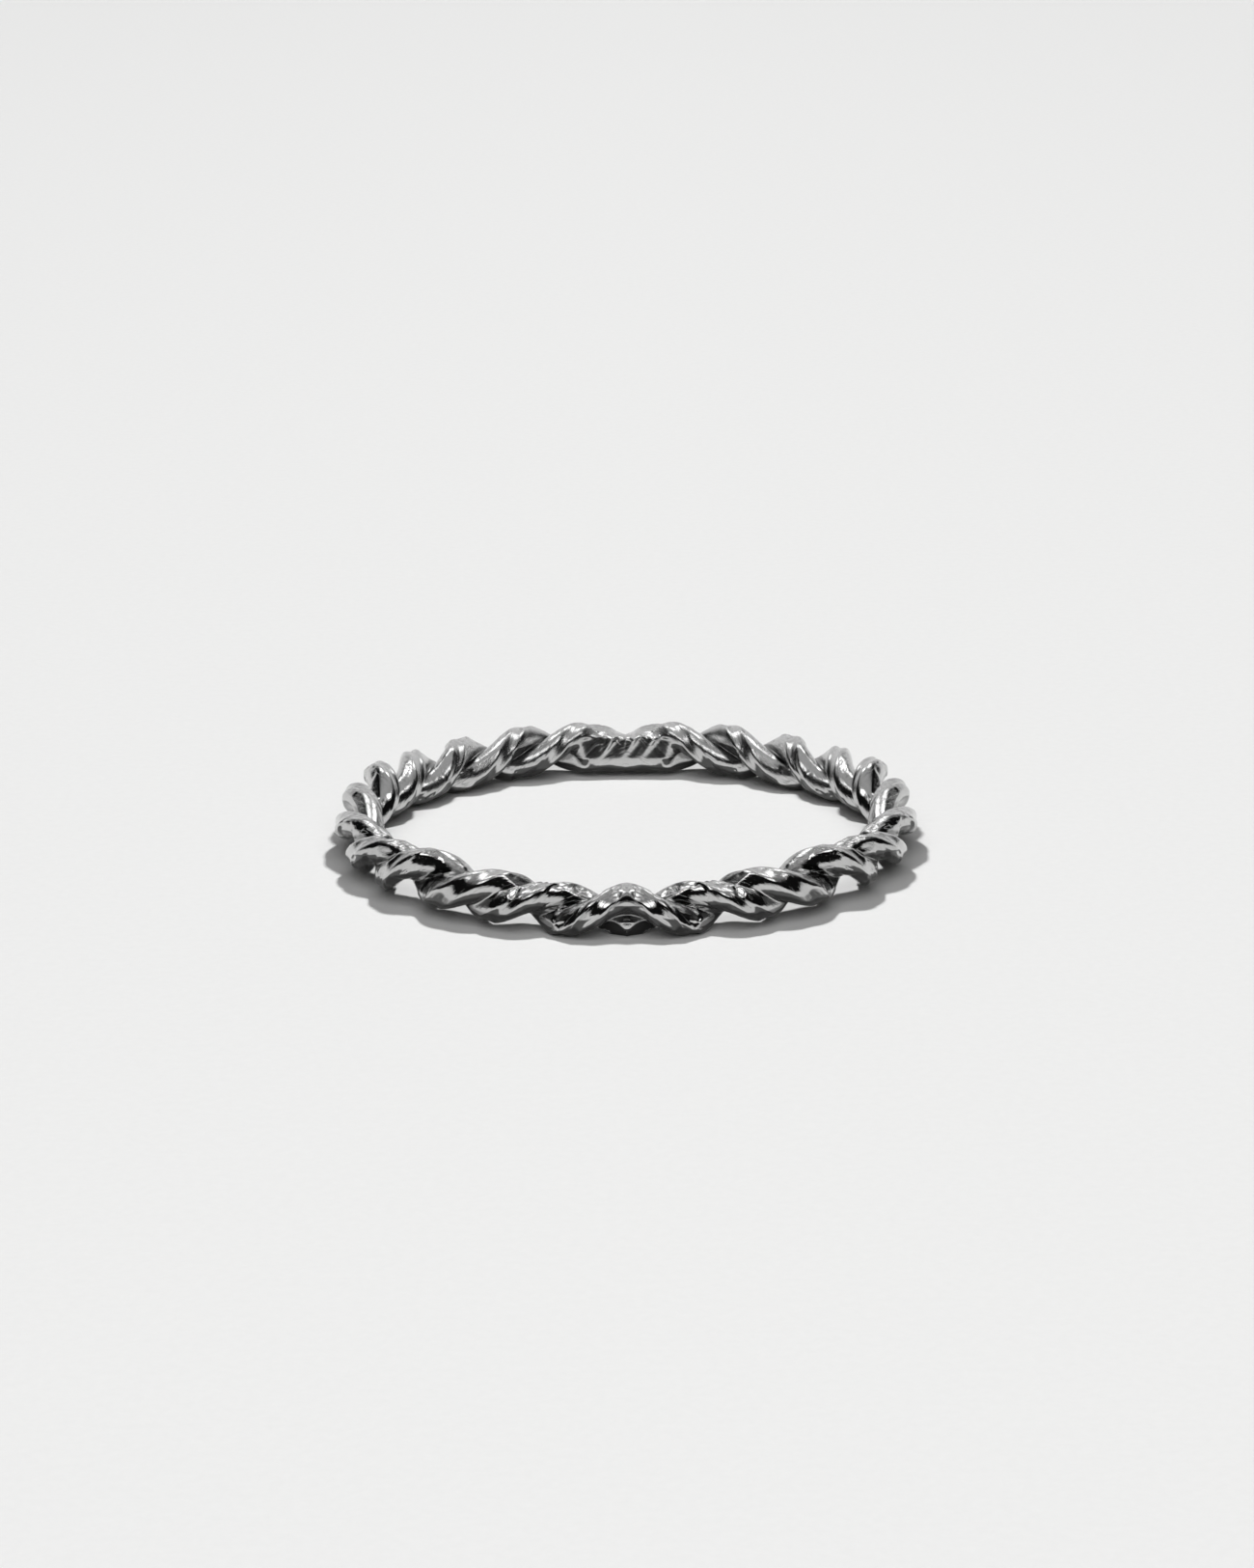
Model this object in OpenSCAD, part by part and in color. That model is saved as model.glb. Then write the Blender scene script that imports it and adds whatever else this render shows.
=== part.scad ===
// Rope twist ring: two round wires twisted together and fused into one closed band.
// It lies on its side: +Z runs along the finger's axis, the front faces -Y, and the origin is
// the middle of the underside of its box. Lengths are in millimetres and angles in degrees.

/* [Band] */
// Width of the finger hole between the tops of average twists
finger_d = 17.3; // [14:0.1:22]
// Thickness of the rope across both wires
rope_d = 1.7; // [1.2:0.05:2.4]
// Thickness of the metal that joins the wires, at the bottom of the valleys
web_d = 0.64; // [0.4:0.02:1]

/* [Wires] */
// How full a wire's outline is: 1 is a round wire lying straight, and less is a wire running askew
wire_shape = 0.72; // [0.55:0.01:1]
// How crisp the valley between the wires is
valley_crisp = 6; // [3:0.5:10]

/* [Back pad] */
// Thickness of the rope where the smooth pad fills the valleys on the inside of the back
pad_d = 1.56; // [1:0.02:2.2]
// Angle that the pad spans to each side of the back centre
pad_span = 10; // [4:0.5:20]
// Angle over which each end of the pad runs out into the twists
pad_fade = 4; // [2:0.5:8]

/* [Hidden] */

// Columns of TWIST
TURN = 0; // half turns counted from the front centre
CREST_AT = 1; // angle round the ring where the upper wire stands highest
FOOT_AT = 2; // angle round the ring where the lower wire reaches lowest
THICK = 3; // how far each wire stands out, as a share of half the rope's thickness
LIFT = 4; // how far the rope is lifted here, as the same share
// A row for each half turn of the left half, from the front centre to the back centre
TWIST = [
    [0, 0, 0, 1.12, -0.26],
    [1, 16, 14.5, 1.02, -0.24],
    [2, 26.5, 30.5, 1.05, 0],
    [3, 46, 44.5, 1.09, 0.19],
    [4, 60, 60.5, 1, 0.05],
    [5, 77.5, 77.5, 0.98, 0],
    [6, 96.5, 97, 1.03, 0.08],
    [7, 110.5, 109.5, 1.18, 0.19],
    [8, 124.5, 124.5, 1.15, 0],
    [9, 139, 138, 1.12, -0.04],
    [10, 155, 153, 1.1, -0.02],
    [11, 170, 169.5, 1.04, -0.03],
    [11.5, 180, 180, 0.9, -0.31],
];
BACK = 180; // angle of the back centre
UP = 90; // direction of a crest within the rope's section, 0 being outwards
DOWN = -90; // direction of a foot within the rope's section
HALF_TURN = 180;
FULL_TURN = 360;

// The pad covers this part of the section, and fades out beside it
PAD_LOW = 112;
PAD_HIGH = 300;
PAD_EDGE = 24;

MEETING = 2.5; // angle over which the halves round into each other at the front and the back
STEPS = 132; // sections in each half
POINTS = 20; // points round a section

rope_r = rope_d / 2;
web_r = web_d / 2;
pad_r = pad_d / 2;
ring_r = finger_d / 2 + rope_r;

// Smooth rise from 0 to 1
function ease(t) = let (c = min(max(t, 0), 1)) c * c * (3 - 2 * c);

// 1 between low and high, falling smoothly to 0 over an edge outside them
function between(v, low, high, edge) = ease((v - low) / edge + 1) * ease((high - v) / edge + 1);

// Rate of change at row i of a curve through the points x, y
function rate(x, y, i) =
    let (a = max(i - 1, 0))
    let (b = min(i + 1, len(x) - 1))
    (y[b] - y[a]) / (x[b] - x[a]);

// Height at v of a smooth curve through the points x, y
function through(x, y, v) =
    let (i = max([for (k = [0 : len(x) - 2]) if (k == 0 || x[k] <= v) k]))
    let (h = x[i + 1] - x[i])
    let (t = (v - x[i]) / h)
    let (s = 1 - t)
    y[i] * (1 + 2 * t) * s * s + h * rate(x, y, i) * t * s * s
    + y[i + 1] * t * t * (3 - 2 * t) - h * rate(x, y, i + 1) * t * t * s;

// Distance from a meeting plane, rounded so that both halves run level into it
function rounded(d) = sqrt(d * d + MEETING * MEETING) - MEETING;

// Place in TWIST of an angle round the ring
function along(a) = rounded(a) + BACK - rounded(BACK - a) - a;

// The wire that is up at even half turns is `wire` 0, and the other is 1
function is_up(row, wire) = floor(row[TURN]) % 2 == wire;
function wire_at(wire) = [for (row = TWIST) row[is_up(row, wire) ? CREST_AT : FOOT_AT]];
function wire_turn(wire) = [for (row = TWIST) (wire == 0 ? UP : DOWN) - HALF_TURN * row[TURN]];
function sized(column) = [for (row = TWIST) rope_r * row[column]];

AT = [wire_at(0), wire_at(1)];
DIRECTION = [wire_turn(0), wire_turn(1)];
THICKNESS = sized(THICK);
LIFTS = sized(LIFT);

// Where a wire lies in the section at angle a, how far it stands out, and how far the rope is lifted
function direction(wire, a) = through(AT[wire], DIRECTION[wire], along(a));
function reach(wire, a) = through(AT[wire], THICKNESS, along(a));
function lift(a) = through((AT[0] + AT[1]) / 2, LIFTS, along(a));

// Outline of one wire in direction b of the section, from the rope's axis
function lobe(b, dir, out) = out * pow(max(cos(b - dir), 0), wire_shape);

// Radius of the joining metal in direction b, with the pad at the back
function core(b, a) =
    let (turned = b - FULL_TURN * floor(b / FULL_TURN))
    let (pad = between(a, BACK - pad_span, BACK, pad_fade) * between(turned, PAD_LOW, PAD_HIGH, PAD_EDGE))
    web_r + (pad_r - web_r) * pad;

// Three outlines joined with a small fillet
function joined(p, q, r) =
    pow(pow(p, valley_crisp) + pow(q, valley_crisp) + pow(r, valley_crisp), 1 / valley_crisp);

// Section at angle a, its points running with the twist: [distance from the ring's axis, height]
function section(a) =
    let (d0 = direction(0, a))
    let (d1 = direction(1, a))
    let (r0 = reach(0, a))
    let (r1 = reach(1, a))
    let (raised = lift(a))
    [for (j = [0 : POINTS - 1])
        let (b = (d0 + d1) / 2 + j * FULL_TURN / POINTS)
        let (r = joined(lobe(b, d0, r0), lobe(b, d1, r1), core(b, a)))
        [ring_r + r * cos(b), raised + r * sin(b)]];

// One half's sections, and the whole loop: left from the front to the back, right back again
half = [for (i = [0 : STEPS]) section(i * BACK / STEPS)];
function placed(s, a, side) = [for (p = s) [side * p[0] * sin(a), -p[0] * cos(a), p[1]]];
loop = concat(
    [for (i = [0 : STEPS]) placed(half[i], i * BACK / STEPS, -1)],
    [for (i = [STEPS - 1 : -1 : 1]) placed(half[i], i * BACK / STEPS, 1)]
);

// Shift that brings the middle of the underside of the box to the origin
all_y = [for (s = loop) for (p = s) p[1]];
all_z = [for (s = loop) for (p = s) p[2]];
shift = [0, -(min(all_y) + max(all_y)) / 2, -min(all_z)];

// Two wires twisted and fused into one closed rope
module rope_band() {
    rings = len(loop);
    points = [for (s = loop) for (p = s) p + shift];
    faces = [
        for (i = [0 : rings - 1])
            for (j = [0 : POINTS - 1])
                let (a = i * POINTS)
                let (b = (i + 1) % rings * POINTS)
                let (k = (j + 1) % POINTS)
                for (f = i < STEPS
                    ? [[a + j, b + j, b + k], [a + j, b + k, a + k]]
                    : [[a + j, b + j, a + k], [b + j, b + k, a + k]])
                    f
    ];
    color("silver")
        polyhedron(points, faces, convexity = 10);
}

rope_band();
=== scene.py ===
"""Looks of the rope twist ring: the silver rope, its floor, its studio light and its camera.

Lengths are worked out in millimetres and angles in degrees, as in the part's source, and meshes are
made in metres. The ring lies on its side on the floor z = 0, and its front faces -Y.
"""

import logging
import math
from dataclasses import astuple, dataclass, field, replace
from enum import Enum
from typing import Any

import bpy
import numpy as np
from mathutils import Matrix, Vector


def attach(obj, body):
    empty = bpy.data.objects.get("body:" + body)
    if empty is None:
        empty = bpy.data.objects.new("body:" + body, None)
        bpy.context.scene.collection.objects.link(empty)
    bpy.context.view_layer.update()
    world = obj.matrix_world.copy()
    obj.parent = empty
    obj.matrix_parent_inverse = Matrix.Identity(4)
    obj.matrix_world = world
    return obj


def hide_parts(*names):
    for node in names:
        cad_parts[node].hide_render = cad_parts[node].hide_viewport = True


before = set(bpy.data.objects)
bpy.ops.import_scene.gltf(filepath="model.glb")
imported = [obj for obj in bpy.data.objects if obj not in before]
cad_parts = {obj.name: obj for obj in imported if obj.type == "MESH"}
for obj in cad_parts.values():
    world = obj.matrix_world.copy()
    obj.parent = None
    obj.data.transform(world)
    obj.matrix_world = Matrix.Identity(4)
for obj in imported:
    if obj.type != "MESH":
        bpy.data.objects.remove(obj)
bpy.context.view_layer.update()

MM = 0.001
# Directions in a section of the rope, 0 being outwards
UP, DOWN = 90, -90
# Angle of the back centre, the front centre being 0
BACK = 180
HALF_TURN, FULL_TURN = 180, 360
Floats = np.ndarray
Triple = tuple[float, float, float]
Stops = tuple[tuple[float, float], ...]
log = logging.getLogger("rope_twist_ring")


class Place(Enum):
    """Where a texture's coordinates come from."""

    OBJECT = "Object"
    WORLD = "Generated"


class Stored(Enum):
    """What is stored at the points of the rope's mesh for its finish."""

    STRAND = "strand"
    INWARD = "inward"
    CREST = "crest"


@dataclass(frozen=True)
class Noise:
    """The form of a noise texture.

    Attributes:
        per_mm: how many blotches fit in a millimetre.
        detail: octaves.
        roughness: weight of the finer octaves.
        distortion: how far the blotches are pulled about.
    """

    per_mm: float
    detail: float = 2.0
    roughness: float = 0.5
    distortion: float = 0.0


class Sig:
    """A shader value or its socket, with Python's operators as Math nodes."""

    def __init__(self, graph: "Graph", socket: Any) -> None:
        """Wraps a socket.

        Args:
            graph: the graph that new nodes go into.
            socket: the output socket that carries the value.
        """
        self.graph = graph
        self.socket = socket

    def _math(self, operation: str, a: Any, b: Any) -> "Sig":
        """One Math node on two values.

        Args:
            operation: the Math node's operation.
            a: first value or Sig.
            b: second value or Sig.

        Returns:
            The node's result.
        """
        return self.graph.node("ShaderNodeMath", {"operation": operation}, {0: a, 1: b})[0]

    def __add__(self, other: Any) -> "Sig":
        """self + other."""
        return self._math("ADD", self, other)

    def __radd__(self, other: Any) -> "Sig":
        """other + self."""
        return self._math("ADD", other, self)

    def __sub__(self, other: Any) -> "Sig":
        """self - other."""
        return self._math("SUBTRACT", self, other)

    def __rsub__(self, other: Any) -> "Sig":
        """other - self."""
        return self._math("SUBTRACT", other, self)

    def __mul__(self, other: Any) -> "Sig":
        """self * other."""
        return self._math("MULTIPLY", self, other)

    def __rmul__(self, other: Any) -> "Sig":
        """other * self."""
        return self._math("MULTIPLY", other, self)

    def __truediv__(self, other: Any) -> "Sig":
        """self / other."""
        return self._math("DIVIDE", self, other)

    def __rtruediv__(self, other: Any) -> "Sig":
        """other / self."""
        return self._math("DIVIDE", other, self)


class Graph:
    """A node tree that is built with Python expressions."""

    def __init__(self, tree: bpy.types.NodeTree) -> None:
        """Empties the tree.

        Args:
            tree: the tree of a material or a world.
        """
        self.tree = tree
        tree.nodes.clear()

    def node(self, kind: str, settings: dict[str, Any] | None = None,
             inputs: dict[Any, Any] | None = None) -> "Outputs":
        """Adds one node.

        Args:
            kind: the node's type name.
            settings: its properties, set first; "stops" holds a ramp's (position, grey) pairs.
            inputs: the values or links of its sockets, by name or number.

        Returns:
            Its outputs, by name or number.
        """
        made = self.tree.nodes.new(kind)
        for name, value in (settings or {}).items():
            if name == "stops":
                self._ramp(made.color_ramp, value)
            else:
                setattr(made, name, value)
        for name, value in (inputs or {}).items():
            if isinstance(value, Sig):
                self.tree.links.new(value.socket, made.inputs[name])
            else:
                made.inputs[name].default_value = value
        return Outputs(self, made)

    @staticmethod
    def _ramp(ramp: bpy.types.ColorRamp, stops: Stops) -> None:
        """Sets a ramp's stops.

        Args:
            ramp: the ramp.
            stops: (position, grey) pairs in rising order.
        """
        while len(ramp.elements) < len(stops):
            ramp.elements.new(1.0)
        for element, (position, grey) in zip(ramp.elements, stops):
            element.position = position
            element.color = (grey, grey, grey, 1.0)

    def ramp(self, value: Sig, stops: Stops) -> Sig:
        """A value through a ramp of greys.

        Args:
            value: what is looked up.
            stops: (position, grey) pairs in rising order.

        Returns:
            The grey.
        """
        return self.node("ShaderNodeValToRGB", {"stops": stops}, {"Fac": value})["Color"]

    def coordinates(self, place: Place) -> Sig:
        """Texture coordinates from one place."""
        return self.node("ShaderNodeTexCoord")[place.value]

    def stored(self, name: Stored, output: str) -> Sig:
        """An output of what is stored at the mesh's points under that name."""
        return self.node("ShaderNodeAttribute", {"attribute_name": name.value})[output]

    def parts(self, vector: Sig) -> "Outputs":
        """The parts of a vector, by their names X, Y and Z."""
        return self.node("ShaderNodeSeparateXYZ", inputs={"Vector": vector})

    def noise(self, at: Sig, form: Noise) -> Sig:
        """A noise from 0 to 1 over the piece.

        Args:
            at: coordinates in metres.
            form: the noise's form.

        Returns:
            The noise.
        """
        return self.node("ShaderNodeTexNoise", inputs={
            "Vector": at, "Scale": form.per_mm / MM, "Detail": form.detail,
            "Roughness": form.roughness, "Distortion": form.distortion})["Fac"]

    def as_colour(self, value: Sig) -> Sig:
        """A grey colour from one value."""
        return self.node("ShaderNodeCombineColor",
                         inputs={"Red": value, "Green": value, "Blue": value})["Color"]

    def mix_colour(self, share: Sig, a: Any, b: Any) -> Sig:
        """A mix of two colours.

        Args:
            share: how much of b shows.
            a: colour at 0, as a Sig or as red, green and blue.
            b: colour at 1, likewise.

        Returns:
            The colour.
        """
        ends = [end if isinstance(end, Sig) else (*end, 1.0) for end in (a, b)]
        return self.node("ShaderNodeMix", {"data_type": "RGBA"},
                         {"Factor": share, "A": ends[0], "B": ends[1]})["Result"]


class Outputs:
    """The outputs of a node, by name or number."""

    def __init__(self, graph: Graph, made: bpy.types.Node) -> None:
        """Keeps the node.

        Args:
            graph: the node's graph.
            made: the node.
        """
        self.graph = graph
        self.made = made

    def __getitem__(self, key: str | int) -> Sig:
        """The output of that name or number."""
        return Sig(self.graph, self.made.outputs[key])


@dataclass(frozen=True)
class HalfTurn:
    """A half turn of the twist: its row in the part's table.

    Attributes:
        turn: half turns counted from the front centre.
        crest_at: angle round the ring where the upper wire stands highest.
        foot_at: angle round the ring where the lower wire reaches lowest.
        thick: how far each wire stands out, as a share of half the rope's thickness.
        lift: how far the rope is lifted here, as the same share.
    """

    turn: float
    crest_at: float
    foot_at: float
    thick: float
    lift: float


TWIST = (
    HalfTurn(0, 0, 0, 1.12, -0.26),
    HalfTurn(1, 16, 14.5, 1.02, -0.24),
    HalfTurn(2, 26.5, 30.5, 1.05, 0),
    HalfTurn(3, 46, 44.5, 1.09, 0.19),
    HalfTurn(4, 60, 60.5, 1, 0.05),
    HalfTurn(5, 77.5, 77.5, 0.98, 0),
    HalfTurn(6, 96.5, 97, 1.03, 0.08),
    HalfTurn(7, 110.5, 109.5, 1.18, 0.19),
    HalfTurn(8, 124.5, 124.5, 1.15, 0),
    HalfTurn(9, 139, 138, 1.12, -0.04),
    HalfTurn(10, 155, 153, 1.1, -0.02),
    HalfTurn(11, 170, 169.5, 1.04, -0.03),
    HalfTurn(11.5, 180, 180, 0.9, -0.31),
)


def ease(t: Floats) -> Floats:
    """Smooth rise from 0 to 1."""
    c = np.clip(t, 0, 1)
    return c * c * (3 - 2 * c)


def between(v: Floats, low: float, high: float, edge: float) -> Floats:
    """A window with soft sides.

    Args:
        v: values.
        low: where the window starts.
        high: where it ends.
        edge: width of each side outside it.

    Returns:
        1 inside and 0 outside.
    """
    return ease((v - low) / edge + 1) * ease((high - v) / edge + 1)


def through(x: Floats, y: Floats, v: Floats) -> Floats:
    """A smooth curve through points.

    Args:
        x: rising places of the points.
        y: their heights.
        v: places to look up.

    Returns:
        Heights at v.
    """
    slope = np.empty(len(x))
    slope[1:-1] = (y[2:] - y[:-2]) / (x[2:] - x[:-2])
    slope[0] = (y[1] - y[0]) / (x[1] - x[0])
    slope[-1] = (y[-1] - y[-2]) / (x[-1] - x[-2])
    i = np.clip(np.searchsorted(x, v, side="right") - 1, 0, len(x) - 2)
    h = x[i + 1] - x[i]
    t = (v - x[i]) / h
    s = 1 - t
    return (y[i] * (1 + 2 * t) * s * s + h * slope[i] * t * s * s
            + y[i + 1] * t * t * (3 - 2 * t) - h * slope[i + 1] * t * t * s)


@dataclass(frozen=True)
class Facet:
    """A flat cut into the left half, mirrored in the right half.

    Attributes:
        at: angle round the ring.
        direction: where it lies in the rope's section, 0 being outwards and 90 up.
        yaw: how far it faces along the ring, away from the front centre.
        pitch: how far it faces up.
        depth: how deep it is cut, in millimetres.
        reach: how far from its middle it is cut, in millimetres.
    """

    at: float
    direction: float
    yaw: float
    pitch: float
    depth: float
    reach: float


# Small polished flats at the front centre and on the crests beside it, and broad ones on the inner
# face of the back centre
FACETS = (
    Facet(2.5, -75, 22, -16, 0.1, 0.7),
    Facet(2.2, 62, -17, 37, 0.03, 0.22),
    Facet(13.8, 80, -29, 37, 0.03, 0.26),
    Facet(22.4, 62, -38, 37, 0.03, 0.3),
    Facet(175, 185, 180, -5, 0.07, 1.7),
    Facet(178, 158, 180, 20, 0.13, 0.8),
)


@dataclass(frozen=True)
class SilverFinish:
    """Polished silver with fine wear, and with painted shade in the valleys and underneath.

    Attributes:
        name: the material's name.
        bright: colour of clean metal.
        dull: colour where wear and scratches take the shine off.
        painted_shade_colour: colour of the painted shade on the undersides, and in part in the
            valleys.
        gloss: roughness of the polish.
        satin: roughness of the brushed tops.
        haze: roughness added on the inside of the back, which is out of focus in the photo.
        drawn_out: share by which coordinates along a strand shrink, which draws marks out.
        patches: worn patches.
        streaks: streaks along the strands.
        grain: fine grain.
        dents: soft dents.
        scratches: lines that scratches follow.
        scratched: places that have scratches.
        brushed_up: how brushed the skin is, by how far it faces up.
        brushed_inside: the same, by how far it faces the finger.
        worn: how worn the skin is, by its worn patches.
        specks: where specks show on brushed skin, by the grain.
        scratch_lines: where scratches run, by their lines.
        scratch_places: where there are any, by their places.
        below: where painted shade covers the undersides, by how far the skin faces up, from 0 to 1.
        valleys: where painted shade covers the valleys, by how far the skin stands out.
        hazy_inside: where the haze is, by how far the skin faces the finger.
        hazy_rear: the same, by how far behind the middle it is, in centimetres.
        ragged_top: how far noise moves the edges of the brushing.
        ragged_under: how far noise moves the edges of the painted shade underneath.
        ragged_valley: how far it moves the edges of the painted shade in the valleys.
        under_share: how much painted shade covers the undersides.
        valley_share: how much painted shade covers the valleys.
        worn_shade: how much wear dulls the metal.
        brushed_shade: how much brushing dulls it.
        scratch_shade: how much scratches dull it.
        relief: height of the fine relief, in millimetres.
        grain_height: share of the relief that is grain.
        brushed_height: share that brushing adds to the grain.
        streak_height: share that is streaks.
        dent_height: share that is dents.
        scratch_depth: share that scratches take away.
    """

    name: str = "silver_polished"
    bright: Triple = (0.58, 0.58, 0.578)
    dull: Triple = (0.36, 0.36, 0.358)
    # Dark grey of the painted shade on the undersides and in the valleys
    painted_shade_colour: Triple = (0.062, 0.062, 0.0615)
    gloss: float = 0.05
    satin: float = 0.27
    haze: float = 0.2
    drawn_out: float = 0.22
    patches: Noise = Noise(1.3, 3.0, 0.6)
    streaks: Noise = Noise(6.0, 3.0, 0.6, 0.4)
    grain: Noise = Noise(9.0, 4.0, 0.75)
    dents: Noise = Noise(2.2, 2.0, 0.5, 0.5)
    scratches: Noise = Noise(2.6, 1.0, 0.4, 1.2)
    scratched: Noise = Noise(2.1, 1.0)
    brushed_up: Stops = ((0.64, 0.1), (0.9, 1.0))
    brushed_inside: Stops = ((0.05, 1.0), (0.3, 0.2))
    worn: Stops = ((0.42, 0.0), (0.6, 1.0))
    specks: Stops = ((0.46, 0.0), (0.58, 1.0))
    scratch_lines: Stops = ((0.488, 0.0), (0.496, 1.0), (0.504, 1.0), (0.512, 0.0))
    scratch_places: Stops = ((0.52, 0.0), (0.56, 1.0))
    # Where the painted shade lies: on the undersides and in the valleys
    below: Stops = ((0.38, 1.0), (0.42, 0.0))
    valleys: Stops = ((0.52, 1.0), (0.6, 0.0))
    hazy_inside: Stops = ((0.0, 0.0), (0.5, 1.0))
    hazy_rear: Stops = ((0.1, 0.0), (0.6, 1.0))
    ragged_top: float = 0.5
    ragged_under: float = 0.1
    ragged_valley: float = 0.12
    under_share: float = 0.95
    valley_share: float = 0.6
    worn_shade: float = 0.5
    brushed_shade: float = 0.7
    scratch_shade: float = 0.6
    relief: float = 0.03
    grain_height: float = 0.25
    brushed_height: float = 0.1
    streak_height: float = 0.3
    dent_height: float = 0.5
    scratch_depth: float = 0.1

    @staticmethod
    def _ragged(value: Sig, noise: Sig, share: float) -> Sig:
        """A value that noise moves up and down."""
        return value + (noise - 0.5) * share

    def material(self) -> bpy.types.Material:
        """Builds the material.

        Returns:
            The material.
        """
        made = bpy.data.materials.new(self.name)
        made.use_nodes = True
        g = Graph(made.node_tree)
        at = g.stored(Stored.STRAND, "Vector")
        drawn = g.node("ShaderNodeVectorMath", {"operation": "MULTIPLY"},
                       {0: at, 1: (1.0, 1.0, self.drawn_out)})["Vector"]
        patches, grain = g.noise(at, self.patches), g.noise(at, self.grain)
        streaks, dents = g.noise(drawn, self.streaks), g.noise(drawn, self.dents)
        upward = g.parts(g.node("ShaderNodeNewGeometry")["Normal"])["Z"]
        inward = g.stored(Stored.INWARD, "Fac")
        brushed = (g.ramp(self._ragged(upward, patches, self.ragged_top), self.brushed_up)
                   * g.ramp(inward, self.brushed_inside))
        marks = (g.ramp(g.noise(drawn, self.scratches), self.scratch_lines)
                 * g.ramp(g.noise(at, self.scratched), self.scratch_places))
        height = (grain * (self.grain_height + brushed * self.brushed_height)
                  + streaks * self.streak_height + dents * self.dent_height
                  - marks * self.scratch_depth)
        bump = g.node("ShaderNodeBump", inputs={
            "Strength": 1.0, "Distance": self.relief * MM, "Height": height})
        shade = (g.ramp(patches, self.worn) * streaks * self.worn_shade
                 + brushed * g.ramp(grain, self.specks) * self.brushed_shade
                 + marks * self.scratch_shade)
        metal = g.mix_colour(shade, self.bright, self.dull)
        # Painted shade: the undersides and the valleys are darkened towards a dark grey, with
        # ragged edges
        dark = self._painted_shade_share(g, upward, streaks, grain)
        behind = g.parts(g.coordinates(Place.OBJECT))["Y"] / (10 * MM)
        hazy = g.ramp(inward, self.hazy_inside) * g.ramp(behind, self.hazy_rear)
        roughness = (self.gloss + (self.satin - self.gloss) * brushed * grain
                     + hazy * self.haze)
        shader = g.node("ShaderNodeBsdfPrincipled", inputs={
            "Base Color": g.mix_colour(dark, metal, self.painted_shade_colour), "Metallic": 1.0,
            "Roughness": roughness, "Normal": bump["Normal"]})
        g.node("ShaderNodeOutputMaterial", inputs={"Surface": shader["BSDF"]})
        return made

    def _painted_shade_share(self, g: Graph, upward: Sig, streaks: Sig, grain: Sig) -> Sig:
        """How much painted shade shows, on the undersides and in the valleys, with ragged edges.

        Args:
            g: the material's graph.
            upward: how far the surface faces up, from -1 to 1.
            streaks: the streaks along the strands.
            grain: the fine grain.

        Returns:
            The share of painted shade.
        """
        raised = upward * 0.5 + 0.5
        below = g.ramp(self._ragged(raised, streaks, self.ragged_under), self.below)
        crest = g.stored(Stored.CREST, "Fac")
        valley = g.ramp(self._ragged(crest, grain, self.ragged_valley), self.valleys)
        return g.node("ShaderNodeMath", {"operation": "MAXIMUM"},
                      {0: below * self.under_share, 1: valley * self.valley_share})[0]


@dataclass(frozen=True)
class PaperFinish:
    """Matt off-white of the floor.

    Attributes:
        name: the material's name.
        colour: its colour.
        lighter: how much lighter its fibres are.
        fibres: its fibres.
        roughness: its roughness.
        sheen: what is left of its mirror reflection.
    """

    name: str = "floor_paper"
    colour: Triple = (0.8, 0.8, 0.795)
    lighter: float = 1.06
    fibres: Noise = Noise(3.0, 3.0, 0.7)
    roughness: float = 0.9
    sheen: float = 0.1

    def material(self) -> bpy.types.Material:
        """Builds the material.

        Returns:
            The material.
        """
        made = bpy.data.materials.new(self.name)
        made.use_nodes = True
        g = Graph(made.node_tree)
        fibres = g.noise(g.coordinates(Place.OBJECT), self.fibres)
        light = tuple(c * self.lighter for c in self.colour)
        shader = g.node("ShaderNodeBsdfPrincipled", inputs={
            "Base Color": g.mix_colour(fibres, self.colour, light),
            "Roughness": self.roughness, "Specular IOR Level": self.sheen})
        g.node("ShaderNodeOutputMaterial", inputs={"Surface": shader["BSDF"]})
        return made


def outward(skin: Floats) -> Floats:
    """Normals of a half.

    Args:
        skin: its sections by points by (x, y, z).

    Returns:
        Unit vectors that point out of the metal.
    """
    along = np.gradient(skin, axis=0)
    round_it = np.roll(skin, -1, 1) - np.roll(skin, 1, 1)
    normal = np.cross(round_it, along)
    return normal / np.linalg.norm(normal, axis=-1, keepdims=True)


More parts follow.
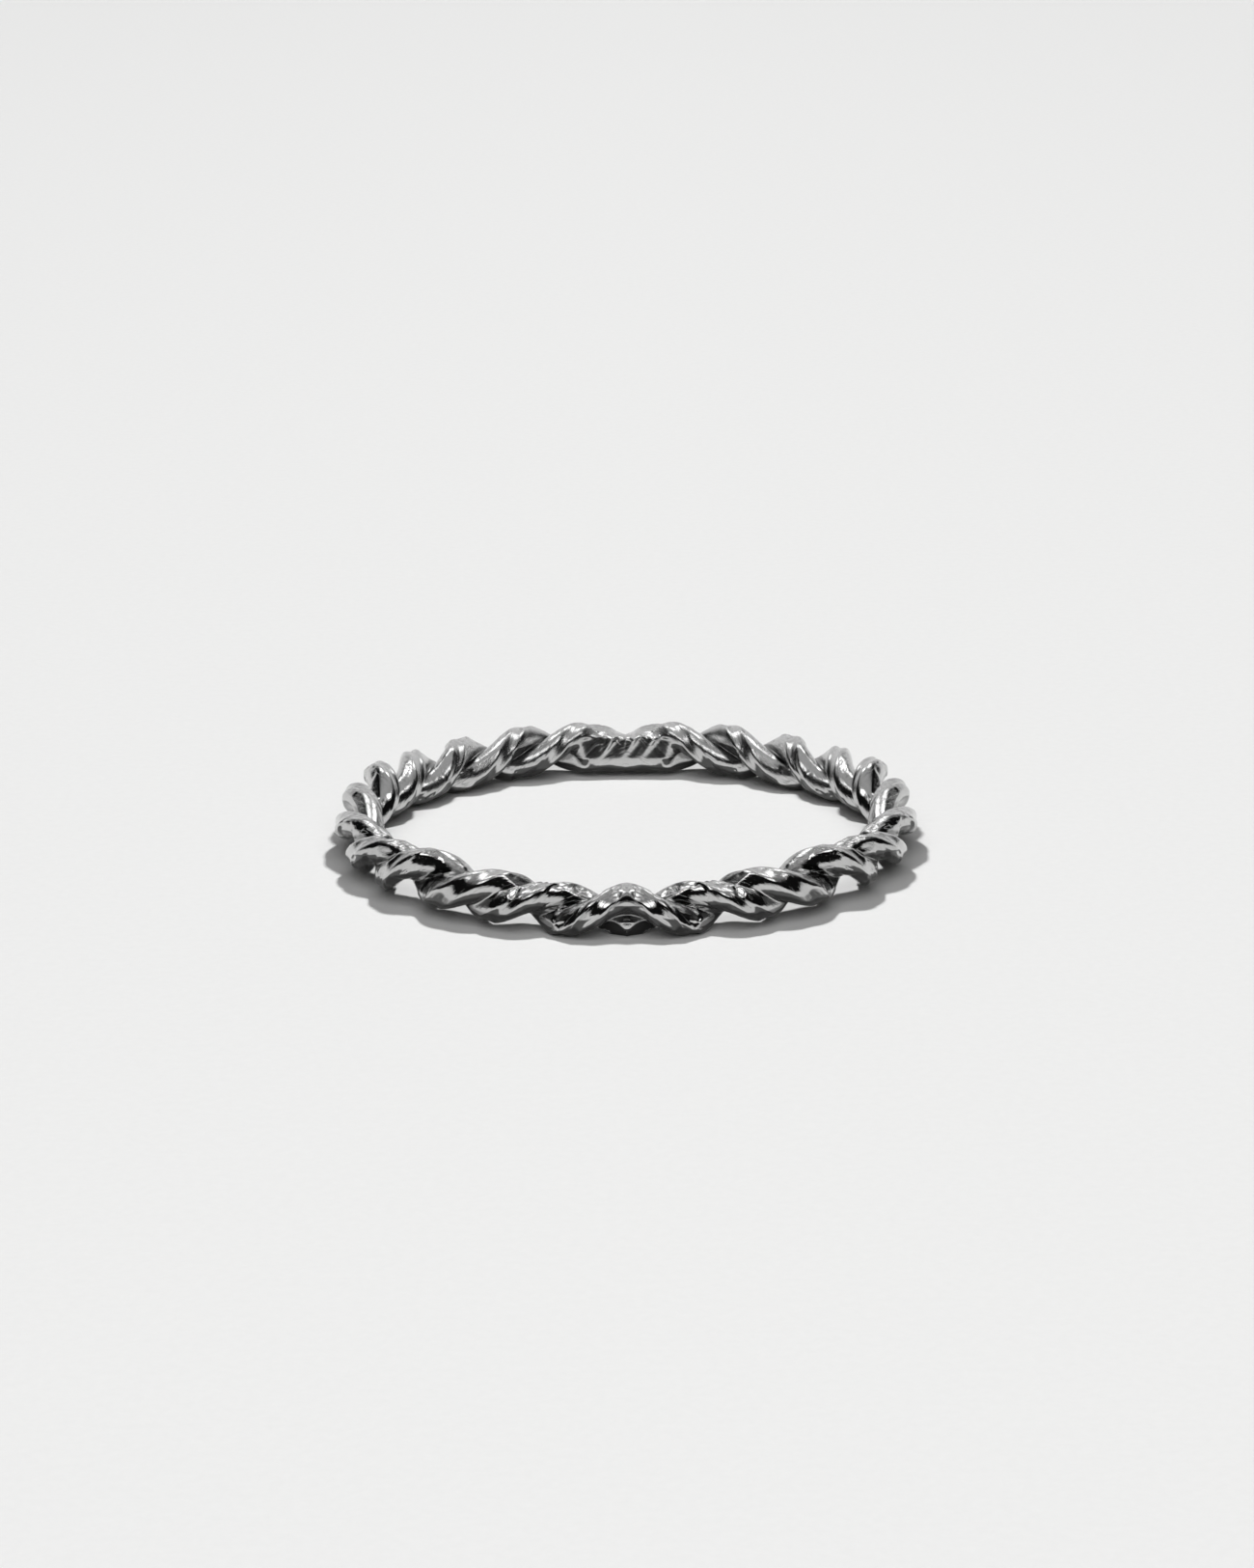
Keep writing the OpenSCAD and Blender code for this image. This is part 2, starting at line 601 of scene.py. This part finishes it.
@dataclass
class HandWork:
    """Faint ripples and small flats that working by hand leaves on one half of the rope.

    Attributes:
        ripple: height of the ripples, in millimetres.
        lobes: how many waves of each ripple go round a section.
        waves: how many of its waves fit in a millimetre along the rope.
        wave_size: least and greatest share of the height that a ripple has.
        flats: how many small flats are drawn.
        flat_depth: least and greatest depth of a flat, in millimetres.
        flat_tilt: how far a flat leans away from the skin.
        flat_edge: how soft the edges of flats and facets are, in millimetres.
        flat_facing: cosine from a flat's own direction up to which skin is cut.
        facet_onset: how fast a facet's cut sets in where the skin turns to face it.
        facet_rim: share of a facet's reach over which it fades out.
        kept_aside: least share of its distance from the meeting plane that a point keeps.
        seed: start of the random draw.
    """

    ripple: float = 0.004
    lobes: tuple[int, ...] = (1, 2, 3, 4, 5)
    waves: tuple[float, ...] = (0.35, 0.9, 1.7)
    wave_size: tuple[float, float] = (0.4, 1)
    flats: int = 150
    flat_depth: tuple[float, float] = (0.004, 0.022)
    flat_tilt: float = 0.05
    flat_edge: float = 0.0015
    flat_facing: float = 0.3
    facet_onset: float = 5.0
    facet_rim: float = 0.25
    kept_aside: float = 0.3
    seed: int = 7

    def worked(self, left: Floats, length: float, reach: float) -> Floats:
        """The left half with ripples, small flats and facets.

        Args:
            left: its sections by points by (x, y, z), in millimetres.
            length: how long it is, in millimetres.
            reach: how far from its middle a small flat is cut, in millimetres.

        Returns:
            The half, moved by a few hundredths of a millimetre, and by up to a tenth at facets.
        """
        draw = np.random.RandomState(self.seed)
        skin = left + outward(left) * self._ripples(draw, left, length)[..., None]
        self._flatten(draw, skin, reach)
        for facet in FACETS:
            self._cut(skin, facet)
        skin[..., 0] = np.minimum(skin[..., 0], self.kept_aside * left[..., 0])
        skin[[0, -1], :, 0] = 0
        return skin

    def _ripples(self, draw: np.random.RandomState, left: Floats, length: float) -> Floats:
        """Faint waves over the skin.

        Args:
            draw: the random draw.
            left: the half's sections by points by (x, y, z).
            length: how long the half is, in millimetres.

        Returns:
            Their height at each point, in millimetres.
        """
        along = np.linspace(0, length, left.shape[0])[:, None]
        turned = np.radians(np.arange(left.shape[1]) * FULL_TURN / left.shape[1])[None]
        height = 0
        for lobes in self.lobes:
            for waves in self.waves:
                phase, size = draw.uniform(0, 2 * np.pi), draw.uniform(*self.wave_size)
                height = height + size * np.sin(lobes * turned + 2 * np.pi * waves * along + phase)
        return self.ripple * height / len(self.waves)

    def _above(self, over: Floats) -> Floats:
        """The part of a height above 0, with a soft edge."""
        return (over + np.sqrt(over ** 2 + self.flat_edge ** 2)) / 2

    def _flatten(self, draw: np.random.RandomState, skin: Floats, reach: float) -> None:
        """Cuts small flats at random places.

        Args:
            draw: the random draw.
            skin: the half's sections by points by (x, y, z), in millimetres; changed in place.
            reach: how far from its middle a flat is cut, in millimetres.
        """
        normal = outward(skin)
        for _ in range(self.flats):
            i, j = draw.randint(0, skin.shape[0]), draw.randint(0, skin.shape[1])
            face = normal[i, j] + draw.normal(0, self.flat_tilt, 3)
            face /= np.linalg.norm(face)
            near = np.linalg.norm(skin - skin[i, j], axis=-1) < reach
            level = skin[i, j] @ face - draw.uniform(*self.flat_depth)
            above = self._above(skin[near] @ face - level)
            cut = np.where(normal[near] @ face > self.flat_facing, above, 0)
            skin[near] -= face * np.minimum(cut, 2 * self.flat_depth[1])[:, None]

    def _cut(self, skin: Floats, facet: Facet) -> None:
        """Cuts one facet into the left half.

        Args:
            skin: the half's sections by points by (x, y, z), in millimetres; changed in place.
            facet: the facet.
        """
        a, yaw, pitch = (math.radians(v) for v in (facet.at, facet.yaw, facet.pitch))
        away = np.array([-math.sin(a), -math.cos(a), 0])
        onward = np.array([-math.cos(a), math.sin(a), 0])
        up = np.array([0, 0, 1.0])
        level = away * math.cos(yaw) + onward * math.sin(yaw)
        face = level * math.cos(pitch) + up * math.sin(pitch)
        i = round(facet.at * (skin.shape[0] - 1) / BACK)
        b = math.radians(facet.direction)
        j = np.argmax(skin[i] @ (away * math.cos(b) + up * math.sin(b)))
        apart = np.linalg.norm(skin - skin[i, j], axis=-1)
        near = apart < facet.reach
        facing = outward(skin)[near] @ face
        above = self._above(skin[near] @ face - (skin[i, j] @ face - facet.depth))
        cut = above * ease(facing * self.facet_onset)
        fade = ease((facet.reach - apart[near]) / (self.facet_rim * facet.reach))
        skin[near] -= face * (cut * fade)[:, None]


@dataclass
class InnerBack:
    """Low relief on the inner face of the back: slanting strands with shallow cells between them.

    All lengths are in millimetres.

    Attributes:
        strands: where the strands stand along x.
        strand_width: how wide they are.
        strand_lean: how far they lean to the side for each millimetre up.
        strand_slope: how far a strand's face runs back for each millimetre up.
        cell_slope: how far a cell's face runs back for each millimetre up.
        cell_span: heights between which the cells lie.
        cell_reach: how far to each side of the back centre they reach.
        side_edge: how softly they end at the sides.
        span_edge: how softly they end above and below.
        turn_away: cosine over which they fade out where the skin turns away from the finger.
        shoulder_height: how far the two shoulders above the cells stand up.
        shoulder_at: how far from the back centre they stand.
        shoulder_width: how wide they are.
        shoulder_rise: how far below the top of the cells they begin.
    """

    strands: tuple[float, ...] = (-0.74, 0.11, 0.81)
    strand_width: float = 0.15
    strand_lean: float = 0.7
    strand_slope: float = 0.04
    cell_slope: float = 0.34
    cell_span: tuple[float, float] = (0.83, 1.5)
    cell_reach: float = 1.35
    side_edge: float = 0.45
    span_edge: float = 0.14
    turn_away: float = 0.5
    shoulder_height: float = 0.08
    shoulder_at: float = 0.65
    shoulder_width: float = 0.4
    shoulder_rise: float = 0.3

    def shaped(self, loop: Floats, middle: float) -> Floats:
        """Shapes the strands, the cells and the shoulders.

        Args:
            loop: the closed loop's sections by points by (x, y, z); changed in place.
            middle: where the ring's axis stands along y.

        Returns:
            The same array.
        """
        x, y, z = loop[..., 0], loop[..., 1] - middle, loop[..., 2]
        low, high = self.cell_span
        radius = np.hypot(x, y)
        strand = np.zeros_like(x)
        for at in self.strands:
            aside = x - at - self.strand_lean * (z - (low + high) / 2)
            strand = np.maximum(strand, np.exp(-(aside / self.strand_width) ** 2))
        slope = self.cell_slope + (self.strand_slope - self.cell_slope) * strand
        wanted = radius.min(1, keepdims=True) + slope * np.maximum(z - low, 0)
        share = (self._facing_finger(loop)
                 * between(x, -self.cell_reach, self.cell_reach, self.side_edge)
                 * between(z, low, high, self.span_edge) * (y > 0))
        moved = 1 + (wanted - radius) * share / radius
        loop[..., 0], loop[..., 1] = x * moved, y * moved + middle
        upper = ease((z - high + self.shoulder_rise) / self.shoulder_rise) * (y > 0)
        aside = (np.abs(loop[..., 0]) - self.shoulder_at) / self.shoulder_width
        loop[..., 2] = z + self.shoulder_height * np.exp(-aside ** 2) * upper
        return loop

    def _facing_finger(self, loop: Floats) -> Floats:
        """Where the skin faces the finger.

        Args:
            loop: the closed loop's sections by points by (x, y, z).

        Returns:
            1 where it does and 0 elsewhere, with soft edges.
        """
        round_it = np.roll(loop, -1, 1) - np.roll(loop, 1, 1)
        return ease(0.5 - round_it[..., 2] / np.linalg.norm(round_it, axis=-1) / self.turn_away)


@dataclass
class RopeBand:
    """Two round silver wires, twisted and fused into one closed rope.

    The values up to cad_points are the part's own, and the rest belong to the finer mesh.

    Attributes:
        finger_width: width of the finger hole between the tops of average twists.
        rope_thickness: thickness of the rope across both wires.
        web_thickness: thickness of the metal that joins the wires, at the bottom of the valleys.
        wire_shape: how full a wire's outline is, 1 being round.
        valley_crisp: how crisp the valley between the wires is.
        pad_thickness: thickness of the rope at the smooth pad on the inside of the back.
        pad_span: angle that the pad spans to each side of the back centre.
        pad_fade: angle over which each end of the pad runs out into the twists.
        pad_low: direction in the section where the pad begins.
        pad_high: direction in the section where it ends.
        pad_edge: angle over which it fades out beside them.
        meeting: angle over which the halves round into each other.
        cad_steps: gaps between the sections of a half.
        cad_points: points round a section.
        steps: gaps between the sections of a half in the finer mesh.
        points: points round a section in the finer mesh.
        worn_meeting: angle over which the finer halves round into each other.
        face_depth: how much further a wire stood out before its face was worn, as a share.
        face_lean: angle by which the worn face leans from the wire's own direction.
        face_crisp: how crisp the edges of the worn face are.
        hand_work: the ripples and flats.
        inner_back: the relief on the inside of the back.
        finish: the silver.
    """

    finger_width: float = 17.3
    rope_thickness: float = 1.7
    web_thickness: float = 0.64
    wire_shape: float = 0.72
    valley_crisp: float = 6.0
    pad_thickness: float = 1.56
    pad_span: float = 10.0
    pad_fade: float = 4.0
    pad_low: float = 112.0
    pad_high: float = 300.0
    pad_edge: float = 24.0
    meeting: float = 2.5
    cad_steps: int = 132
    cad_points: int = 20
    steps: int = 500
    points: int = 96
    worn_meeting: float = 1.2
    face_depth: float = 0.11
    face_lean: float = 4.0
    face_crisp: float = 26.0
    hand_work: HandWork = field(default_factory=HandWork)
    inner_back: InnerBack = field(default_factory=InnerBack)
    finish: SilverFinish = field(default_factory=SilverFinish)

    def _along(self, a: Floats, meeting: float) -> Floats:
        """Place in the table of an angle round the ring.

        Args:
            a: angles round the ring.
            meeting: angle over which the halves round into each other.

        Returns:
            The places.
        """
        def rounded(d: Floats) -> Floats:
            """Distance from a meeting plane, level at the plane."""
            return np.sqrt(d * d + meeting ** 2) - meeting
        return rounded(a) + BACK - rounded(BACK - a) - a

    def _wires(self, at: Floats) -> tuple[list[Floats], list[Floats], Floats]:
        """The two wires at places in the table.

        Args:
            at: the places.

        Returns:
            The direction of each wire in the section, how far each stands out, and how far the
            rope is lifted.
        """
        rope_r = self.rope_thickness / 2
        turn, crest, foot, thick, lift = np.array([astuple(row) for row in TWIST], float).T
        first_up = np.floor(turn) % 2 == 0
        places = [np.where(first_up, crest, foot), np.where(first_up, foot, crest)]
        way = [through(place, start - HALF_TURN * turn, at)[:, None]
               for place, start in zip(places, (UP, DOWN))]
        out = [through(place, rope_r * thick, at)[:, None] for place in places]
        return way, out, through((places[0] + places[1]) / 2, rope_r * lift, at)[:, None]

    def _lobe(self, aside: Floats, out: Floats, worn: bool) -> Floats:
        """Outline of one wire within a section.

        Args:
            aside: directions from the wire's own direction.
            out: how far the wire stands out.
            worn: whether its outer face is worn flat.

        Returns:
            How far the wire reaches in each direction.
        """
        full = np.maximum(np.cos(np.radians(aside)), 0) ** self.wire_shape
        if not worn:
            return out * full
        least_full, least_cos, p = 1e-3, 0.15, self.face_crisp
        round_side = out * (1 + self.face_depth) * np.maximum(full, least_full)
        flat_face = out / np.maximum(np.cos(np.radians(aside - self.face_lean)), least_cos)
        return (round_side ** -p + flat_face ** -p) ** (-1 / p)

    def _core(self, a: Floats, b: Floats) -> Floats:
        """Radius of the metal that joins the wires, with the pad at the back.

        Args:
            a: angles round the ring.
            b: directions in the section at each angle.

        Returns:
            The radius in each direction.
        """
        web_r, pad_r = self.web_thickness / 2, self.pad_thickness / 2
        pad = (between(a, BACK - self.pad_span, BACK, self.pad_fade)[:, None]
               * between(np.mod(b, FULL_TURN), self.pad_low, self.pad_high, self.pad_edge))
        return web_r + (pad_r - web_r) * pad

    def _left(self, steps: int, points: int, worn: bool) -> tuple[Floats, Floats]:
        """The left half of the rope, from the front centre to the back centre, not yet shifted.

        Args:
            steps: gaps between its sections.
            points: points round a section.
            worn: whether the wires' outer faces are worn flat.

        Returns:
            An array of sections by points by (x, y, z), in millimetres, and how far each point
            stands out as a share of half the rope's thickness.
        """
        rope_r = self.rope_thickness / 2
        a = np.arange(steps + 1) * BACK / steps
        way, out, lift = self._wires(self._along(a, self.worn_meeting if worn else self.meeting))
        b = (way[0] + way[1]) / 2 + np.arange(points)[None] * FULL_TURN / points
        lobes = [self._lobe(b - way[w], out[w], worn) for w in (0, 1)]
        p = self.valley_crisp
        r = (lobes[0] ** p + lobes[1] ** p + self._core(a, b) ** p) ** (1 / p)
        away = self.finger_width / 2 + rope_r + r * np.cos(np.radians(b))
        height = lift + r * np.sin(np.radians(b))
        round_ring = np.radians(a)[:, None]
        spots = np.stack([-away * np.sin(round_ring), -away * np.cos(round_ring), height], -1)
        return spots, r / rope_r

    @staticmethod
    def _closed(left: Floats) -> Floats:
        """Joins the left half and its mirror image into the closed loop."""
        return np.concatenate([left, left[-2:0:-1] * (-1, 1, 1)])

    def shift(self) -> Floats:
        """The part's own shift.

        Returns:
            What puts the middle of the underside of the part's box at the origin.
        """
        cad, _ = self._left(self.cad_steps, self.cad_points, False)
        y, z = cad[..., 1], cad[..., 2]
        return np.array([0, -(y.min() + y.max()) / 2, -z.min()])

    def _strands(self, rings: int, points: int) -> Floats:
        """Coordinates that run with the strands, for marks that follow the metal.

        Args:
            rings: sections round the whole ring.
            points: points round a section.

        Returns:
            A row of x, y and z for each point, in metres, z being the way along the strand.
        """
        i = np.arange(rings)[:, None]
        gaps = np.minimum(i, rings - i)
        length = gaps * 2 * np.pi * (self.finger_width + self.rope_thickness) / 2 / rings
        turned = np.radians(np.arange(points) * FULL_TURN / points)[None]
        r = self.rope_thickness / 2
        x, y, z = np.broadcast_arrays(r * np.cos(turned), r * np.sin(turned), length)
        return np.stack([x, y, z], -1).reshape(-1, 3) * MM

    @staticmethod
    def _inward(mesh: bpy.types.Mesh) -> Floats:
        """How far the skin faces the finger.

        Args:
            mesh: the rope's mesh.

        Returns:
            A cosine for each point, 1 being straight towards the ring's axis.
        """
        spots, faced = np.empty((2, len(mesh.vertices) * 3))
        mesh.vertices.foreach_get("co", spots)
        mesh.vertex_normals.foreach_get("vector", faced)
        spots, faced = spots.reshape(-1, 3), faced.reshape(-1, 3)
        spots[:, 2] = 0
        return -(faced * spots).sum(-1) / np.linalg.norm(spots, axis=-1)

    @staticmethod
    def _store(mesh: bpy.types.Mesh, name: Stored, values: Floats) -> None:
        """Stores something at the mesh's points for the finish.

        Args:
            mesh: the rope's mesh.
            name: what is stored.
            values: a number for each point, or a row of x, y and z.
        """
        kind, key = ("FLOAT", "value") if values.ndim == 1 else ("FLOAT_VECTOR", "vector")
        stored = mesh.attributes.new(name.value, kind, "POINT")
        stored.data.foreach_set(key, values.astype(np.float32).ravel())

    def build(self) -> bpy.types.Object:
        """Makes the finer mesh of the rope and dresses it.

        Returns:
            The rope, which stands for the part's own solid.
        """
        left, out = self._left(self.steps, self.points, True)
        rope_r = self.rope_thickness / 2
        left = self.hand_work.worked(left, np.pi * (self.finger_width / 2 + rope_r), rope_r)
        shift = self.shift()
        loop = self.inner_back.shaped(self._closed(left) + shift, shift[1]) * MM
        rings, points = loop.shape[:2]
        i, j = np.arange(rings)[:, None], np.arange(points)[None]
        a, b, k = i * points, (i + 1) % rings * points, (j + 1) % points
        quads = np.stack([a + k, b + k, b + j, a + j], -1).reshape(-1, 4)
        mesh = bpy.data.meshes.new("rope")
        mesh.from_pydata(loop.reshape(-1, 3).tolist(), [], quads.tolist())
        mesh.polygons.foreach_set("use_smooth", np.ones(len(mesh.polygons), bool))
        mesh.materials.append(self.finish.material())
        self._store(mesh, Stored.STRAND, self._strands(rings, points))
        self._store(mesh, Stored.INWARD, self._inward(mesh))
        self._store(mesh, Stored.CREST, np.concatenate([out, out[-2:0:-1]]).ravel())
        rope = bpy.data.objects.new("rope", mesh)
        bpy.context.scene.collection.objects.link(rope)
        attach(rope, "root")
        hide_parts("rope_band")
        return rope


@dataclass(frozen=True)
class Lamp:
    """A round lamp that is aimed at the ring and lights only the floor.

    Attributes:
        way: the direction from the ring in which it stands.
        size: how wide it is, in metres.
        power: its power, in watts.
    """

    way: Triple
    size: float
    power: float

    def hang(self, name: str, distance: float, lit: list[bpy.types.Object]) -> bpy.types.Object:
        """Hangs the lamp.

        Args:
            name: the lamp's name.
            distance: how far from the ring it hangs, in metres.
            lit: the floor pieces that it lights.

        Returns:
            The lamp.
        """
        light = bpy.data.lights.new(name, "AREA")
        light.shape = "DISK"
        light.size = self.size
        light.energy = self.power
        lamp = bpy.data.objects.new(name, light)
        lamp.location = Vector(self.way) * distance
        lamp.rotation_euler = lamp.location.to_track_quat("Z", "Y").to_euler()
        bpy.context.scene.collection.objects.link(lamp)
        lamp.light_linking.receiver_collection = bpy.data.collections.new(name + "_lights")
        for piece in lit:
            lamp.light_linking.receiver_collection.objects.link(piece)
        return lamp


@dataclass(frozen=True)
class SoftBox:
    """A bright patch on each side of the room, which only the silver shows.

    Attributes:
        way: the direction from the ring to the right one.
        size: cosines from that direction at which it ends and at which it is full.
        glow: how bright it is.
    """

    way: Triple
    size: tuple[float, float]
    glow: float


@dataclass
class Studio:
    """Pale floor, three lamps that light only the floor, and a room that only the silver shows.

    Two key lamps hang high and out to each side. Each lights the half of the floor across from it,
    so both halves of the ring throw their shadows outwards, as in the photo. A wide fill lamp hangs
    on the camera's side. The room is pale above and behind the ring and dark on the camera's side.

    Attributes:
        floor_half: half the width of the floor, in metres.
        lamp_distance: how far from the ring the lamps hang, in metres.
        key: the key lamp on the right.
        fill: the fill lamp.
        room_back: grey of the wall behind the ring.
        room_top: grey of the ceiling.
        room_side: grey of the upper side walls.
        room_front: grey of the camera's side.
        side_from: heights, as sines, between which the upper side walls set in.
        top_from: height, as a sine, from which the ceiling is full.
        back_from: distances back, as sines, between which the wall behind sets in.
        boxes: the soft boxes.
        floor_finish: the paper.
    """

    floor_half: float = 2.0
    lamp_distance: float = 2.0
    key: Lamp = Lamp((0.3, 0.09, 0.95), 0.24, 30.4)
    fill: Lamp = Lamp((0.0, -0.7, 0.71), 2.2, 22.2)
    room_back: float = 0.78
    room_top: float = 0.46
    room_side: float = 0.3
    room_front: float = 0.007
    side_from: tuple[float, float] = (0.7, 0.8)
    top_from: float = 0.96
    back_from: tuple[float, float] = (0.48, 0.7)
    boxes: tuple[SoftBox, ...] = (SoftBox((0.28, 0.4, 0.87), (0.984, 0.992), 4.4),
                                  SoftBox((0.4, -0.5, 0.77), (0.99, 0.995), 5.0))
    floor_finish: PaperFinish = field(default_factory=PaperFinish)

    def _floor(self, name: str, side: int, material: bpy.types.Material) -> bpy.types.Object:
        """One half of the floor that the ring lies on.

        Args:
            name: the half's name.
            side: -1 for the left half and 1 for the right half.
            material: its paper.

        Returns:
            The half floor.
        """
        h = self.floor_half
        near, far = sorted((0.0, side * h))
        corners = [(near, -h, 0), (far, -h, 0), (far, h, 0), (near, h, 0)]
        mesh = bpy.data.meshes.new(name)
        mesh.from_pydata(corners, [], [(0, 1, 2, 3)])
        mesh.materials.append(material)
        floor = bpy.data.objects.new(name, mesh)
        bpy.context.scene.collection.objects.link(floor)
        return floor

    def _room(self) -> None:
        """Sets the room, hidden from diffuse rays so that the floor is lit by the lamps alone."""
        world = bpy.data.worlds.new("room")
        bpy.context.scene.world = world
        world.use_nodes = True
        world.cycles_visibility.diffuse = False
        g = Graph(world.node_tree)
        axes = g.parts(g.coordinates(Place.WORLD))
        ceiling = g.ramp(axes["Z"], ((self.side_from[0], 0.0), (self.side_from[1], self.room_side),
                                     (self.top_from, self.room_top)))
        behind = g.ramp(axes["Y"], ((self.back_from[0], 0.0), (self.back_from[1], 1.0)))
        grey = ceiling + behind * (self.room_back - ceiling)
        aside = g.node("ShaderNodeMath", {"operation": "ABSOLUTE"}, {0: axes["X"]})[0]
        glow = self.room_front
        for box in self.boxes:
            x, y, z = Vector(box.way).normalized()
            towards = aside * x + axes["Y"] * y + axes["Z"] * z
            glow = g.ramp(towards, tuple(zip(box.size, (0.0, 1.0)))) * box.glow + glow
        shader = g.node("ShaderNodeBackground",
                        inputs={"Color": g.as_colour(grey + glow), "Strength": 1.0})
        g.node("ShaderNodeOutputWorld", inputs={"Surface": shader["Background"]})

    def build(self) -> None:
        """Sets the floor, the lamps and the room."""
        paper = self.floor_finish.material()
        left, right = self._floor("floor_left", -1, paper), self._floor("floor_right", 1, paper)
        x, y, z = self.key.way
        self.key.hang("key_right", self.lamp_distance, [left])
        replace(self.key, way=(-x, y, z)).hang("key_left", self.lamp_distance, [right])
        self.fill.hang("fill", self.lamp_distance, [left, right])
        self._room()
        bpy.context.scene.view_settings.view_transform = "Standard"


@dataclass
class PhotoCamera:
    """The camera at the photograph's place, height and angle.

    Attributes:
        elevation: angle at which it looks down.
        distance: how far it stands from the middle of the rope's circle, in millimetres.
        focal_px: its focal length, in pixels of the photograph.
        target_px: where the photograph shows the middle of the rope's circle.
        roll: how far it is turned about its own line of sight.
        image_px: width and height of the photograph.
        sensor: width of its sensor, in millimetres.
        clip: nearest and farthest distance that it sees, in metres.
    """

    elevation: float = 17.387
    distance: float = 160.15
    focal_px: float = 4654.0
    target_px: tuple[float, float] = (649.03, 849.92)
    roll: float = 0.4985
    image_px: tuple[int, int] = (1300, 1625)
    sensor: float = 36.0
    clip: tuple[float, float] = (0.001, 20.0)

    def build(self, target: Floats) -> bpy.types.Object:
        """Makes the camera and gives it to the scene.

        Args:
            target: the middle of the rope's circle, in millimetres.

        Returns:
            The camera.
        """
        e, r = math.radians(self.elevation), math.radians(self.roll)
        ahead = Vector((0, math.cos(e), -math.sin(e)))
        level_right, level_up = Vector((1, 0, 0)), Vector((0, math.sin(e), math.cos(e)))
        right = level_right * math.cos(r) - level_up * math.sin(r)
        up = level_up * math.cos(r) + level_right * math.sin(r)
        x, y = self.target_px
        aim = (ahead * self.focal_px + right * (self.image_px[0] / 2 - x)
               + up * (y - self.image_px[1] / 2)).normalized()
        side = aim.cross(up).normalized()
        top = side.cross(aim)
        data = bpy.data.cameras.new("camera")
        data.sensor_width = self.sensor
        data.lens = self.focal_px / max(self.image_px) * self.sensor
        data.clip_start, data.clip_end = self.clip
        camera = bpy.data.objects.new("camera", data)
        place = (Vector(target) - ahead * self.distance) * MM
        turned = Matrix((side, top, -aim)).transposed()
        camera.matrix_world = Matrix.Translation(place) @ turned.to_4x4()
        bpy.context.scene.collection.objects.link(camera)
        bpy.context.scene.camera = camera
        return camera


def main() -> None:
    """Builds the ring, its studio and its camera."""
    logging.basicConfig(level=logging.INFO, format="%(name)s: %(message)s")
    band = RopeBand()
    rope = band.build()
    log.info("%s: %d faces", rope.name, len(rope.data.polygons))
    Studio().build()
    camera = PhotoCamera().build(band.shift())
    log.info("camera: lens %.1f mm", camera.data.lens)


if __name__ == "__main__":
    main()
